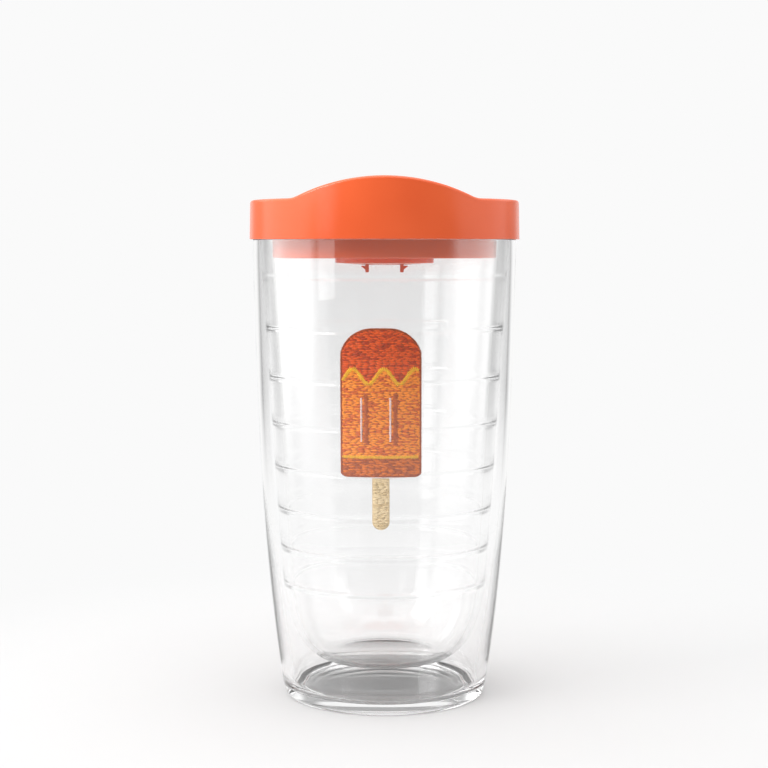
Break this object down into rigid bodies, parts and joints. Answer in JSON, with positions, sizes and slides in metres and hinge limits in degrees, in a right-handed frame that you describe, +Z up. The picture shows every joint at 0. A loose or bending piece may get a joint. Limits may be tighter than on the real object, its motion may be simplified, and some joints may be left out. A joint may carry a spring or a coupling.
{
  "type": "insulated tumbler",
  "caption": "Clear double-walled drinks tumbler with a press-on travel lid, a raised drinking lip, a sliding closure and a stitched emblem between its walls",
  "frame": {"origin": "centre of the ring that the tumbler stands on, on its axis", "axes": "+Z up along the cup's axis, -Y to the front with the emblem and the drinking lip, +X to the right as seen from the front"},
  "size_m": [0.0888, 0.0888, 0.1707],
  "materials": {
    "clear_wall": "clear polished injection-moulded copolyester",
    "lid_plastic": "satin orange moulded polypropylene",
    "pop_thread": "embroidered polyester thread in peach, orange and yellow",
    "stick_thread": "embroidered polyester thread in beige"
  },
  "bodies": {
    "tumbler": {"outer_cup": "clear_wall", "inner_cup": "clear_wall", "lid": "lid_plastic", "emblem_body": "pop_thread", "emblem_stick": "stick_thread"},
    "closure": {"slide_closure": "lid_plastic"}
  },
  "joints": [
    {"name": "closure_slide", "type": "slide", "parent": "tumbler", "child": "closure", "axis": [0, -1, 0], "range_m": [0, 0.01]}
  ]
}
